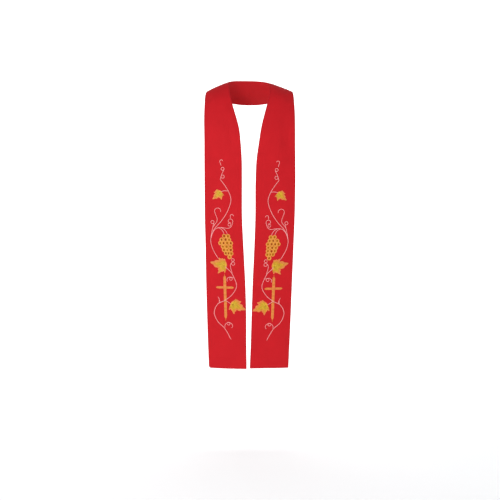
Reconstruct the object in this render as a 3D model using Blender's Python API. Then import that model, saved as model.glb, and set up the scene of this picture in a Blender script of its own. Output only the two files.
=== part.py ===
"""Clerical stole, in the form it has when it is worn: two shaped bands of cloth that are joined by a
seam at the centre back, lie over the shoulders round an open neck, and hang side by side to the hem.
Each hanging end carries a raised embroidery of a vine, its leaves, a bunch of grapes and a cross.

Units are metres. +Z is up, -Y is the front, +X is the wearer's left. The origin is the middle of the
neck, level with the points where the cloth rests on the shoulders.
"""

import math
from collections import namedtuple

import bpy
import numpy as np

# ---------------------------------------------------------------- driving sizes
WALL = 0.002  # face cloth, interlining and lining together
SEAM_GAP = 0.0003  # between the two halves at the centre back
SLICES_ACROSS = 8  # faces across the width of a band
FRONT_STEP = 0.030  # length of a face on the hanging front
NECK_STEP = 0.0145  # length of a face round the shoulder and the neck
NECK_FROM = 0.93  # run at which the shorter faces start
SLOPE_STEP = 0.0005  # run over which the slope of the cloth is taken
SLOPE_SHARE = 0.01  # and the share of its width
SHARP_ANGLE = 35.0  # faces that meet at more than this, in degrees, are shaded with a sharp edge

# A section goes across the band, from its inner edge by the neck to its outer edge. "run" goes roughly
# along the cloth from the hem: on the hanging front it is the height above the hem. x is the distance
# from the middle plane, given for each half, because the two halves don't hang quite alike, and
# "left_low" is how much lower the inner edge lies on the left half. "crown" is how far the middle of
# the section stands out from the straight line between its edges.
Section = namedtuple(
    "Section",
    "run  z_in z_out left_low  right_in right_out  left_in left_out  y_in y_out  crown",
)
SECTIONS = [
    Section(0.000, -1.2022, -1.2023, -0.0018, 0.0143, 0.1756, -0.0004, 0.1642, -0.116, -0.087, 0.005),
    Section(0.108, -1.090, -1.090, 0, 0.0156, 0.1795, 0.0039, 0.1690, -0.117, -0.089, 0.006),
    Section(0.208, -0.990, -0.990, 0, 0.0156, 0.1823, 0.0063, 0.1730, -0.118, -0.091, 0.006),
    Section(0.368, -0.830, -0.830, 0, 0.0197, 0.1861, 0.0112, 0.1788, -0.120, -0.093, 0.006),
    Section(0.508, -0.690, -0.690, 0, 0.0268, 0.1880, 0.0175, 0.1840, -0.122, -0.094, 0.006),
    Section(0.638, -0.560, -0.560, 0, 0.0328, 0.1905, 0.0220, 0.1887, -0.124, -0.096, 0.006),
    Section(0.798, -0.400, -0.400, 0, 0.0332, 0.1915, 0.0233, 0.1912, -0.125, -0.095, 0.007),
    Section(0.878, -0.320, -0.320, 0, 0.0338, 0.1918, 0.0268, 0.1909, -0.123, -0.093, 0.007),
    Section(0.958, -0.240, -0.240, 0, 0.0391, 0.1921, 0.0377, 0.1904, -0.119, -0.088, 0.007),
    Section(1.003, -0.195, -0.195, 0, 0.0438, 0.1927, 0.0444, 0.1903, -0.113, -0.083, 0.007),
    Section(1.044, -0.154, -0.154, 0, 0.0530, 0.1934, 0.0531, 0.1900, -0.104, -0.075, 0.007),
    Section(1.083, -0.115, -0.116, 0, 0.0646, 0.1931, 0.0633, 0.1893, -0.092, -0.064, 0.0075),
    Section(1.118, -0.079, -0.085, 0, 0.0749, 0.1922, 0.0729, 0.1877, -0.078, -0.051, 0.007),
    Section(1.146, -0.051, -0.063, 0.001, 0.0819, 0.1914, 0.0796, 0.1867, -0.062, -0.038, 0.0065),
    Section(1.175, -0.0225, -0.0430, 0.003, 0.0868, 0.1899, 0.0840, 0.1851, -0.040, -0.022, 0.0050),
    Section(1.197, -0.0008, -0.0318, 0.005, 0.0888, 0.1871, 0.0860, 0.1830, -0.019, -0.008, 0.0040),
    Section(1.217, 0.0105, -0.0258, 0.006, 0.0888, 0.1829, 0.0866, 0.1792, 0.001, 0.008, 0.0040),
    Section(1.260, 0.0178, -0.0365, 0.007, 0.0843, 0.1676, 0.0833, 0.1655, 0.033, 0.053, 0.0050),
    Section(1.301, 0.0222, -0.0580, 0.005, 0.0668, 0.1322, 0.0664, 0.1312, 0.058, 0.088, 0.0065),
    Section(1.345, 0.0238, -0.0730, 0.002, 0.0388, 0.0782, 0.0388, 0.0779, 0.074, 0.104, 0.006),
    Section(1.405, 0.024, -0.080, 0, 0, 0, 0, 0, 0.081, 0.110, 0.006),
]
CENTRE_BACK = SECTIONS[-1].run

# Soft hollows in the cloth. "across" runs from 0 at the inner edge to 1 at the outer edge.
Hollow = namedtuple("Hollow", "side run across half_length half_width depth")
HOLLOWS = [
    Hollow("left", 0.965, 0.80, 0.120, 0.30, 0.0070),
    Hollow("left", 0.060, 0.34, 0.260, 0.60, 0.0065),
    Hollow("left", 1.150, 0.80, 0.030, 0.16, 0.0018),
    Hollow("left", 1.207, 0.55, 0.055, 0.60, 0.0022),
    Hollow("right", 0.985, 0.26, 0.090, 0.14, 0.0022),
    Hollow("right", 1.150, 0.84, 0.030, 0.14, 0.0020),
    Hollow("right", 1.110, 0.12, 0.035, 0.12, 0.0018),
]

# Embroidery. It is placed by its run and by its reach: the distance from the middle line of the band,
# positive towards the outer edge. On the left half the whole design lies a little lower and further out.
DESIGN_SHIFT = {"right": (0.0, 0.0), "left": (-0.0050, 0.0018)}
STITCH_GAP = 0.0003  # between the cloth and the solids that stand for the stitches
STITCH_EDGE = 0.0006  # thickness of a padded motif at its rim
STITCH_CROWN = 0.0012  # and at its middle
STEM_WIDTH = 0.0026
STEM_END = 0.55  # the width of its ends, as a share
STEM_HEIGHT = 0.0010
STEM_STEP = 0.009  # spacing of the points along a vine stem
CLIMB_START = 0.003  # how far beside the cross a stem is at its full height over it
CLIMB_LENGTH = 0.010  # and the length over which it climbs

Bend = namedtuple("Bend", "run reach")
VINE_UPPER = [
    Bend(0.801, 0.013),
    Bend(0.777, -0.006),
    Bend(0.752, -0.022),
    Bend(0.718, -0.034),
    Bend(0.672, -0.022),
    Bend(0.626, 0.007),
    Bend(0.588, 0.041),
    Bend(0.546, 0.057),
    Bend(0.508, 0.050),
    Bend(0.484, 0.038),
    Bend(0.468, 0.027),
]
VINE_LOWER = [
    Bend(0.4275, -0.0075),
    Bend(0.411, -0.024),
    Bend(0.385, -0.038),
    Bend(0.352, -0.047),
    Bend(0.314, -0.027),
    Bend(0.290, 0.003),
    Bend(0.272, 0.036),
    Bend(0.237, 0.052),
    Bend(0.199, 0.038),
    Bend(0.172, 0.010),
    Bend(0.122, -0.019),
]

# A leaf is placed by its heart, where its stalk meets the blade. "turn" is the way its tip points, in
# degrees from straight down, positive towards the outer edge, and "length" is from heart to tip. "hand"
# is -1 where its broader side is the lower one.
Leaf = namedtuple("Leaf", "name run reach length turn hand")
LEAVES = [
    Leaf("leaf_top", 0.7440, 0.0103, 0.0405, 51.0, 1),
    Leaf("leaf_middle", 0.4350, 0.0000, 0.0590, 104.0, 1),
    Leaf("leaf_low", 0.2722, -0.0268, 0.0555, -68.0, -1),
]
# The lobes: the way each points from the tip, in degrees, its length as a share of the leaf's, and its
# spread in degrees.
Lobe = namedtuple("Lobe", "way share spread")
LOBES = [
    Lobe(0.0, 1.00, 22.0),
    Lobe(44.0, 0.64, 15.0),
    Lobe(72.0, 0.52, 14.0),
    Lobe(-58.0, 0.69, 16.0),
    Lobe(-102.0, 0.46, 15.0),
]
LEAF_BODY = 0.295  # radius of the blade between the lobes, beside its heart, as a share of its length
LEAF_SWELL = 0.16  # how much more it is towards the tip, and less behind the heart
LEAF_POINT = 1.7  # lower is more pointed lobes
LEAF_TEETH = 18  # teeth round the rim
LEAF_TOOTH = 0.068  # their height, as a share of the radius there
LEAF_RING = 0.55  # radius of the ring where the blade is at its full height, as a share of the rim's
LEAF_RIM_POINTS = 54

# A row of the bunch: how many grapes, and how far out the first one lies, in half pitches.
GrapeRow = namedtuple("GrapeRow", "count first")
GRAPE_ROWS = [
    GrapeRow(2, 1),
    GrapeRow(3, 2),
    GrapeRow(4, 3),
    GrapeRow(3, 2),
    GrapeRow(3, 1),
    GrapeRow(2, 0),
    GrapeRow(2, -1),
    GrapeRow(1, -2),
]
GRAPE_PITCH = 0.0150  # from one grape to the next
GRAPE_RING = 0.6  # radius of a grape's raised ring, as a share of the grape's
GRAPES_TOP = Bend(0.5620, -0.0055)  # the middle of the first row

CROSS_TOP = 0.402
CROSS_FOOT = 0.202
CROSS_ARM_RUN = 0.344
CROSS_REACH = 0.0025
CROSS_ARM = 0.038  # half the length of the cross-bar
UPRIGHT_WIDTH = 0.0125
CROSS_BAR_WIDTH = 0.0100
BAR_STEP = 0.018
# The end of a bar: its width at the very tip, the length of the thin spike there, and the length over
# which the bar narrows, the spike included.
BarEnd = namedtuple("BarEnd", "tip spike taper")
TOP_END = BarEnd(0.0020, 0.0070, 0.0160)
FOOT_END = BarEnd(0.0020, 0.0090, 0.0210)
ARM_END = BarEnd(0.0040, 0.0, 0.0090)
END_SHARES = (1.0, 0.75, 0.5, 0.0)  # where a narrowing end has its sections, from its start to its tip

RED = (0.56, 0.018, 0.026, 1.0)
OLD_GOLD = (0.66, 0.34, 0.055, 1.0)
ORANGE_GOLD = (0.74, 0.28, 0.060, 1.0)
GRAPE_GOLD = (0.72, 0.33, 0.060, 1.0)
SILVER_PINK = (0.88, 0.62, 0.60, 1.0)

# ---------------------------------------------------------------- a smooth curve through a table
def smooth(knots, values, at):
    """The values read at any place, on a smooth curve through the knots (cubic, with the slope at
    each knot taken from the parabola through it and its two neighbours)."""
    knots, values, at = (np.asarray(x, float) for x in (knots, values, at))
    gap = np.diff(knots)
    secant = np.diff(values) / gap
    slope = np.empty_like(values)
    slope[1:-1] = (secant[:-1] * gap[1:] + secant[1:] * gap[:-1]) / (gap[1:] + gap[:-1])
    slope[0], slope[-1] = secant[0], secant[-1]
    i = np.clip(np.searchsorted(knots, at, side="right") - 1, 0, len(gap) - 1)
    t = (at - knots[i]) / gap[i]
    h = gap[i]
    return (
        values[i] * (1 + 2 * t) * (1 - t) ** 2
        + slope[i] * h * t * (1 - t) ** 2
        + values[i + 1] * t**2 * (3 - 2 * t)
        - slope[i + 1] * h * t**2 * (1 - t)
    )


# ---------------------------------------------------------------- the surface of a worn band
# Past the centre back the table goes on as its own mirror image, so that the two halves meet smoothly.
RUNS = [s.run for s in SECTIONS] + [2 * CENTRE_BACK - SECTIONS[-2].run]


def column(name, run):
    """One column of the sections, read at any run."""
    values = [getattr(s, name) for s in SECTIONS]
    mirrored = -values[-2] if name.endswith(("t_in", "t_out")) else values[-2]
    return smooth(RUNS, values + [mirrored], run)


def edges(side, run):
    """The inner and outer edge points of a half, at any run."""
    sign = 1.0 if side == "left" else -1.0
    low = column("left_low", run) if side == "left" else 0.0
    inner = [sign * column(side + "_in", run), column("y_in", run), column("z_in", run) - low]
    outer = [sign * column(side + "_out", run), column("y_out", run), column("z_out", run)]
    return np.stack(inner, -1), np.stack(outer, -1)


def unit(vectors):
    return vectors / np.linalg.norm(vectors, axis=-1, keepdims=True)


def outward(side, along, across):
    """The direction that faces away from the wearer, from the two directions of the cloth."""
    normal = np.cross(across, along)
    return unit(normal if side == "left" else -normal)


def bump(distance):
    """1 at the middle, falling smoothly to 0 at distance 1."""
    return np.where(np.abs(distance) < 1, (1 - np.minimum(distance**2, 1)) ** 2, 0.0)


def band_points(side, run, across):
    """Points on the outer face of a half. across runs from 0 at the inner edge to 1 at the outer."""
    run, across = np.broadcast_arrays(np.asarray(run, float), np.asarray(across, float))
    inner, outer = edges(side, run)
    inner_next, outer_next = edges(side, run + 2 * SLOPE_STEP)
    a = across[..., None]
    flat = inner * (1 - a) + outer * a
    along = (inner_next * (1 - a) + outer_next * a) - flat
    face = outward(side, along, outer - inner)
    lift = column("crown", run) * 4 * across * (1 - across)
    for hollow in (h for h in HOLLOWS if h.side == side):
        lift = lift - hollow.depth * bump((run - hollow.run) / hollow.half_length) * bump(
            (across - hollow.across) / hollow.half_width
        )
    return flat + face * lift[..., None]


def band_faces(side, run, across):
    """The outward direction of the finished surface at the same places."""
    low, high = np.clip(across - SLOPE_SHARE, 0, 1), np.clip(across + SLOPE_SHARE, 0, 1)
    up, down = run + SLOPE_STEP, run - SLOPE_STEP
    along = band_points(side, up, across) - band_points(side, down, across)
    over = band_points(side, run, high) - band_points(side, run, low)
    return outward(side, along, over)


def above_band(side, run, reach, height):
    """Points that stand off the cloth by height, placed by their run and by their reach."""
    run, reach, height = (np.asarray(x, float) for x in (run, reach, height))
    inner, outer = edges(side, run)
    across = 0.5 + reach / np.linalg.norm(outer - inner, axis=-1)
    points = band_points(side, run, across)
    return points + band_faces(side, run, across) * height[..., None]


# ---------------------------------------------------------------- meshes and materials
def cloth_material(name, colour, roughness):
    material = bpy.data.materials.new(name)
    material.use_nodes = True
    shader = material.node_tree.nodes["Principled BSDF"]
    shader.inputs["Base Color"].default_value = colour
    shader.inputs["Roughness"].default_value = roughness
    material.diffuse_color = colour
    return material


def add_solid(name, points, faces, material):
    mesh = bpy.data.meshes.new(name)
    mesh.from_pydata([tuple(map(float, p)) for p in points], [], faces)
    mesh.validate()
    mesh.materials.append(material)
    mesh.shade_smooth()
    mesh.set_sharp_from_angle(angle=math.radians(SHARP_ANGLE))
    thing = bpy.data.objects.new(name, mesh)
    bpy.context.scene.collection.objects.link(thing)
    return thing


def rim_of(faces):
    """The edges that only one face has, each in its own face's order."""
    seen = {(f[i - 1], f[i]) for f in faces for i in range(len(f))}
    return [edge for edge in seen if edge[::-1] not in seen]


def closed_shell(top, under, faces):
    """A closed body between two sheets of points that share their faces."""
    count = len(top)
    below = [tuple(count + i for i in reversed(face)) for face in faces]
    walls = [(b, a, count + a, count + b) for a, b in sorted(rim_of(faces))]
    return np.concatenate([top, under]), list(faces) + below + walls


# ---------------------------------------------------------------- the two halves
def section_runs():
    """The runs of the sections that are built: wide apart on the front, close round the neck."""
    front = np.linspace(0, NECK_FROM, round(NECK_FROM / FRONT_STEP) + 1)
    neck_length = CENTRE_BACK - NECK_FROM
    neck = np.linspace(NECK_FROM, CENTRE_BACK, round(neck_length / NECK_STEP) + 1)
    return np.concatenate([front, neck[1:]])


def build_half(side, material):
    runs = section_runs()
    across = np.linspace(0, 1, SLICES_ACROSS + 1)
    run_grid, across_grid = np.meshgrid(runs, across, indexing="ij")
    face = band_points(side, run_grid, across_grid)
    away = band_faces(side, run_grid, across_grid)
    # The last section is the seam: it lies flat in the plane of the seam, half a gap from the middle.
    away[-1, :, 0] = 0
    away[-1] = unit(away[-1])
    sign = 1.0 if side == "left" else -1.0
    face[-1, :, 0] = sign * SEAM_GAP / 2
    back = face - away * WALL
    wide = SLICES_ACROSS + 1
    quads = []
    for i in range(len(runs) - 1):
        for j in range(SLICES_ACROSS):
            quad = (i * wide + j, i * wide + j + 1, (i + 1) * wide + j + 1, (i + 1) * wide + j)
            quads.append(quad if side == "left" else quad[::-1])
    points, faces = closed_shell(face.reshape(-1, 3), back.reshape(-1, 3), quads)
    return add_solid("half_" + side, points, faces, material)


# ---------------------------------------------------------------- the embroidery
def build_motif(name, side, plan, faces, material):
    """A padded motif: its plan has a run, a reach and a height for each point, and faces that are
    seen anticlockwise on the wearer's left half. The other half has its mirror image."""
    plan = np.asarray(plan, float)
    plan[:, :2] += DESIGN_SHIFT[side]
    top = above_band(side, plan[:, 0], plan[:, 1], STITCH_GAP + plan[:, 2])
    lowest = STITCH_GAP + (plan[:, 3] if plan.shape[1] > 3 else np.zeros(len(plan)))
    under = above_band(side, plan[:, 0], plan[:, 1], lowest)
    if side == "right":
        faces = [face[::-1] for face in faces]
    points, faces = closed_shell(top, under, faces)
    return add_solid(f"{name}_{side}", points, faces, material)


def leaf_rim(way):
    """The radius of a vine leaf's outline, as a share of its length, at a way from its tip."""
    body = LEAF_BODY + LEAF_SWELL * math.cos(math.radians(way))
    radius = body
    for lobe in LOBES:
        turn = (way - lobe.way + 180) % 360 - 180
        radius += (lobe.share - body) * math.exp(-abs(turn / lobe.spread) ** LEAF_POINT)
    return radius * (1 + LEAF_TOOTH * math.cos(math.radians(way * LEAF_TEETH)))


def build_leaf(leaf, side, material):
    """A blade of five lobes, low at its toothed rim and raised towards its heart."""
    plan = [(leaf.run, leaf.reach, STITCH_CROWN)]
    for share, height in ((LEAF_RING, STITCH_CROWN), (1.0, STITCH_EDGE)):
        for i in range(LEAF_RIM_POINTS):
            angle = 360 * i / LEAF_RIM_POINTS - 180
            radius = leaf.length * share * leaf_rim(leaf.hand * angle)
            turn = math.radians(leaf.turn + angle)
            run = leaf.run - radius * math.cos(turn)
            plan.append((run, leaf.reach + radius * math.sin(turn), height))
    count = LEAF_RIM_POINTS
    faces = []
    for i in range(count):
        inner, inner_next = 1 + i, 1 + (i + 1) % count
        outer, outer_next = inner + count, inner_next + count
        faces.append((0, inner, inner_next))
        faces.append((inner, outer, outer_next, inner_next))
    return build_motif(leaf.name, side, plan, faces, material)


def build_grapes(side, material):
    """A hanging bunch: six-sided grapes side by side, each with a raised middle, joined at their rims."""
    corner = GRAPE_PITCH / math.sqrt(3)
    places = {}
    plan, faces = [], []

    def point(run, reach, height):
        key = (round(run, 5), round(reach, 5))
        if key not in places:
            places[key] = len(plan)
            plan.append((run, reach, height))
        return places[key]

    for i_row, row in enumerate(GRAPE_ROWS):
        run = GRAPES_TOP.run - i_row * corner * 1.5
        for k in range(row.count):
            reach = GRAPES_TOP.reach + (row.first / 2 - k) * GRAPE_PITCH
            middle = point(run, reach, STITCH_EDGE)
            ring, rim = [], []
            for i in range(6):
                turn = math.radians(60 * i)
                out_run, out_reach = corner * math.cos(turn), corner * math.sin(turn)
                ring_run, ring_reach = run + GRAPE_RING * out_run, reach + GRAPE_RING * out_reach
                ring.append(point(ring_run, ring_reach, STITCH_CROWN))
                rim.append(point(run + out_run, reach + out_reach, STITCH_EDGE))
            for i in range(6):
                j = (i + 1) % 6
                faces.append((middle, ring[j], ring[i]))
                faces.append((ring[i], ring[j], rim[j], rim[i]))
    return build_motif("grapes", side, plan, faces, material)


def bar_width(full, end, left):
    """Half the width of a bar of the cross, at a distance from its end."""
    share = min(max(left - end.spike, 0) / (end.taper - end.spike), 1.0)
    return (end.tip + (full - end.tip) * math.sin(share * math.pi / 2)) / 2


def build_cross(side, material):
    """A Latin cross with pointed ends. Four bars leave a middle rectangle, each with a raised ridge."""
    half_run, half_reach = CROSS_BAR_WIDTH / 2, UPRIGHT_WIDTH / 2
    plan = [(CROSS_ARM_RUN, CROSS_REACH, STITCH_CROWN)]
    for run_way, reach_way in ((1, -1), (1, 1), (-1, 1), (-1, -1)):
        corner = (CROSS_ARM_RUN + run_way * half_run, CROSS_REACH + reach_way * half_reach)
        plan.append((*corner, STITCH_EDGE))
    faces = []
    bars = [  # way in run and in reach, length from the middle, full width, end, the corners it leaves
        (1, 0, CROSS_TOP - CROSS_ARM_RUN, UPRIGHT_WIDTH, TOP_END, 1, 2),
        (0, 1, CROSS_ARM, CROSS_BAR_WIDTH, ARM_END, 2, 3),
        (-1, 0, CROSS_ARM_RUN - CROSS_FOOT, UPRIGHT_WIDTH, FOOT_END, 3, 4),
        (0, -1, CROSS_ARM, CROSS_BAR_WIDTH, ARM_END, 4, 1),
    ]
    for run_way, reach_way, length, full, end, first, last in bars:
        start = half_run if run_way else half_reach
        root = (CROSS_ARM_RUN + run_way * start, CROSS_REACH + reach_way * start)
        plan.append((*root, STITCH_CROWN))
        row = (first, len(plan) - 1, last)
        faces += [(0, row[1], row[0]), (0, row[2], row[1])]
        straight = max(1, round((length - start - end.taper) / BAR_STEP))
        outs = [start + (length - start - end.taper) * i / straight for i in range(1, straight)]
        outs += [length - end.taper * share for share in END_SHARES]
        for out in outs:
            width = bar_width(full, end, length - out)
            side_run, side_reach = reach_way * width, run_way * width
            middle = (CROSS_ARM_RUN + run_way * out, CROSS_REACH + reach_way * out)
            number = len(plan)
            plan.append((middle[0] + side_run, middle[1] - side_reach, STITCH_EDGE))
            plan.append((middle[0], middle[1], STITCH_CROWN))
            plan.append((middle[0] - side_run, middle[1] + side_reach, STITCH_EDGE))
            new = (number, number + 1, number + 2)
            for k in range(2):
                faces.append((row[k], row[k + 1], new[k + 1], new[k]))
            row = new
    return build_motif("cross", side, plan, faces, material)


def stem_line(bends):
    """Evenly spaced points on a smooth curve through the bends of a vine."""
    corners = np.array(bends, float)
    spans = np.linalg.norm(np.diff(corners, axis=0), axis=1)
    along = np.concatenate([[0], np.cumsum(spans)])
    at = np.linspace(0, along[-1], round(along[-1] / STEM_STEP) + 1)
    return np.stack([smooth(along, corners[:, k], at) for k in range(2)], axis=1)


def build_stem(name, bends, side, material):
    """A stem with a ridge down its middle. Where it crosses the cross it climbs over it."""
    line = stem_line(bends)
    way = unit(np.gradient(line, axis=0))
    plan, faces = [], []
    for i, ((run, reach), (way_run, way_reach)) in enumerate(zip(line, way)):
        half = STEM_WIDTH / 2 * (STEM_END if i in (0, len(line) - 1) else 1.0)
        climb = 0.0
        if CROSS_FOOT < run < CROSS_TOP:
            beside = abs(reach - CROSS_REACH) - UPRIGHT_WIDTH / 2 - CLIMB_START
            climb = (STITCH_CROWN + STITCH_GAP) * min(max(1 - beside / CLIMB_LENGTH, 0.0), 1.0)
        for offset, height in ((-half, STITCH_EDGE), (0.0, STEM_HEIGHT), (half, STITCH_EDGE)):
            place = (run + way_reach * offset, reach - way_run * offset)
            plan.append((*place, climb + height, climb))
        if i:
            for k in range(2):
                a = 3 * (i - 1) + k
                faces.append((a, a + 3, a + 4, a + 1))
    return build_motif(name, side, plan, faces, material)


# ---------------------------------------------------------------- the whole stole
for old in list(bpy.data.objects):
    bpy.data.objects.remove(old)

red_cloth = cloth_material("red_cloth", RED, 0.75)
leaf_gold = cloth_material("leaf_gold_thread", OLD_GOLD, 0.45)
grape_gold = cloth_material("grape_gold_thread", GRAPE_GOLD, 0.45)
cross_gold = cloth_material("cross_gold_thread", ORANGE_GOLD, 0.45)
stem_thread = cloth_material("stem_thread", SILVER_PINK, 0.50)

for half in ("right", "left"):
    build_half(half, red_cloth)
    for each in LEAVES:
        build_leaf(each, half, leaf_gold)
    build_grapes(half, grape_gold)
    build_cross(half, cross_gold)
    build_stem("vine_upper", VINE_UPPER, half, stem_thread)
    build_stem("vine_lower", VINE_LOWER, half, stem_thread)
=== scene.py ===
"""The looks of a clerical stole, in the form it has when it is worn: two shaped bands of red cloth, sewn
together at the centre back, with a raised embroidery of a vine, its leaves, a bunch of grapes and a
cross on each hanging end.

Units are metres. +Z is up, -Y is the front, +X is the wearer's left. The origin is the middle of the
neck, level with the points where the cloth rests on the shoulders.
"""

import math
from collections import namedtuple

import bpy
import numpy as np
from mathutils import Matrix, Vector
from mathutils.kdtree import KDTree


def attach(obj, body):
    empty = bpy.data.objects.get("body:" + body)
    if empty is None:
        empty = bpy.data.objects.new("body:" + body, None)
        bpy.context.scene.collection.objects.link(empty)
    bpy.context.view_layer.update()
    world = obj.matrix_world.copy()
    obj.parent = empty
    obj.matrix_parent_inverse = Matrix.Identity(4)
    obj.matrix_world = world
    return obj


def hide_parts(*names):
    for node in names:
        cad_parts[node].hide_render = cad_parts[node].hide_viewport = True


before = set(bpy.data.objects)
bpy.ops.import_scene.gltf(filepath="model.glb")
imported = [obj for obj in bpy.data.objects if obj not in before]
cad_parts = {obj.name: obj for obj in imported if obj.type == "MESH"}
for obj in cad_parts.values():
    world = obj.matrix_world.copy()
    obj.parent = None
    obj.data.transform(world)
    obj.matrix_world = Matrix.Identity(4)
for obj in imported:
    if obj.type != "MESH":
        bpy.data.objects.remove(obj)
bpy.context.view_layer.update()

# ================================================================ the studio
# One sweep of matt white paper makes the floor and the back. The light is soft and comes mostly from
# the front, so that the cloth turns a little darker over the shoulders and in its hollows.
FLOOR = -1.50
SWEEP_FRONT = -7.0
SWEEP_BACK = 4.8
SWEEP_TOP = 3.4
SWEEP_BEND = 1.7  # radius of the curve from floor to back
SWEEP_HALF_WIDTH = 7.0
BEND_STEPS = 16
PAPER_WHITE = (0.92, 0.925, 0.93, 1.0)
PAPER_GLOW = 0.32  # the paper is lit through a little, as on a light table

CAMERA_AT = (0.0, -4.4, -0.34)
CAMERA_AIM = (0.0, -0.117, -0.695)
CAMERA_LENS = 73.67


def feed(tree, node, inputs):
    """Gives inputs of a node their values. One whose value is an output socket is linked to it."""
    for socket, value in inputs.items():
        if isinstance(value, bpy.types.NodeSocket):
            tree.links.new(value, node.inputs[socket])
        else:
            node.inputs[socket].default_value = value


def add_node(tree, kind, inputs=None, **settings):
    """A shader node of the given kind, with its inputs and its own settings."""
    node = tree.nodes.new("ShaderNode" + kind)
    for name, value in settings.items():
        setattr(node, name, value)
    feed(tree, node, inputs or {})
    return node


def new_material(name):
    """A material, its node tree and its Principled shader."""
    material = bpy.data.materials.new(name)
    material.use_nodes = True
    return material, material.node_tree, material.node_tree.nodes["Principled BSDF"]


def paper_material():
    """Matt paper with a very faint mottle."""
    material, tree, shader = new_material("matt_white_paper")
    mottle = add_node(tree, "TexNoise", {"Scale": 1.3, "Detail": 2.0})
    shade = add_node(tree, "MapRange", {"Value": mottle.outputs["Fac"], "To Min": 0.985, "To Max": 1.0})
    mottled = {0: PAPER_WHITE[:3], "Scale": shade.outputs["Result"]}
    feed(tree, shader, {
        "Base Color": add_node(tree, "VectorMath", mottled, operation="SCALE").outputs["Vector"],
        "Roughness": 0.95,
        "Specular IOR Level": 0.1,
        "Emission Color": PAPER_WHITE,
        "Emission Strength": PAPER_GLOW,
    })
    return material


def add_object(name, data):
    thing = bpy.data.objects.new(name, data)
    bpy.context.scene.collection.objects.link(thing)
    return thing


def paper_sweep():
    """The profile runs back along the floor, round the bend and up."""
    profile = [(SWEEP_FRONT, FLOOR)]
    for i in range(BEND_STEPS + 1):
        turn = math.pi / 2 * i / BEND_STEPS
        back = SWEEP_BACK - SWEEP_BEND + SWEEP_BEND * math.sin(turn)
        profile.append((back, FLOOR + SWEEP_BEND * (1 - math.cos(turn))))
    profile.append((SWEEP_BACK, SWEEP_TOP))
    points = [(x, y, z) for y, z in profile for x in (-SWEEP_HALF_WIDTH, SWEEP_HALF_WIDTH)]
    faces = [(2 * i, 2 * i + 1, 2 * i + 3, 2 * i + 2) for i in range(len(profile) - 1)]
    mesh = bpy.data.meshes.new("paper_sweep")
    mesh.from_pydata(points, [], faces)
    mesh.materials.append(paper_material())
    mesh.shade_smooth()
    return add_object("paper_sweep", mesh)


paper_sweep()


def point(thing, at, aim):
    """Puts a lamp or the camera at a place and turns it towards another."""
    thing.location = at
    thing.rotation_euler = (Vector(aim) - Vector(at)).to_track_quat("-Z", "Y").to_euler()


def soft_light(name, at, aim, size, watts):
    light = bpy.data.lights.new(name, "AREA")
    light.shape = "SQUARE"
    light.size = size
    light.energy = watts
    lamp = add_object(name, light)
    lamp.visible_camera = False
    point(lamp, at, aim)


soft_light("key_light", (-1.9, -3.9, 0.6), (0, -0.1, -0.5), 1.8, 86)
soft_light("fill_light", (2.6, -3.6, 0.6), (0, -0.1, -0.5), 2.4, 26)
soft_light("paper_light", (0, 2.3, 2.2), (0, 4.8, -0.6), 3.0, 130)

# The air gives a dim, even light. Where it is seen beyond the paper, it is as white as the paper.
world = bpy.data.worlds.new("studio_air")
world.use_nodes = True
air = world.node_tree
dim = air.nodes["Background"]
feed(air, dim, {"Color": (0.97, 0.985, 1.0, 1.0), "Strength": 0.34})
white = add_node(air, "Background", {"Color": (1.0, 1.0, 1.0, 1.0), "Strength": 1.0})
seen = add_node(air, "LightPath").outputs["Is Camera Ray"]
either = {"Fac": seen, 1: dim.outputs["Background"], 2: white.outputs["Background"]}
shown = add_node(air, "MixShader", either).outputs["Shader"]
feed(air, air.nodes["World Output"], {"Surface": shown})
bpy.context.scene.world = world
bpy.context.scene.view_settings.view_transform = "Standard"

camera = add_object("camera", bpy.data.cameras.new("camera"))
camera.data.lens = CAMERA_LENS
point(camera, CAMERA_AT, CAMERA_AIM)
bpy.context.scene.camera = camera

# ================================================================ the two halves of the cloth
# Each half is a long shaped band of firm red cloth, faced, interlined and turned in at its edges, then
# pressed. The halves are joined by a seam at the centre back and lie over the shoulders. The turnings
# inside show as a faint line along the edges and above the hem.

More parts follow.
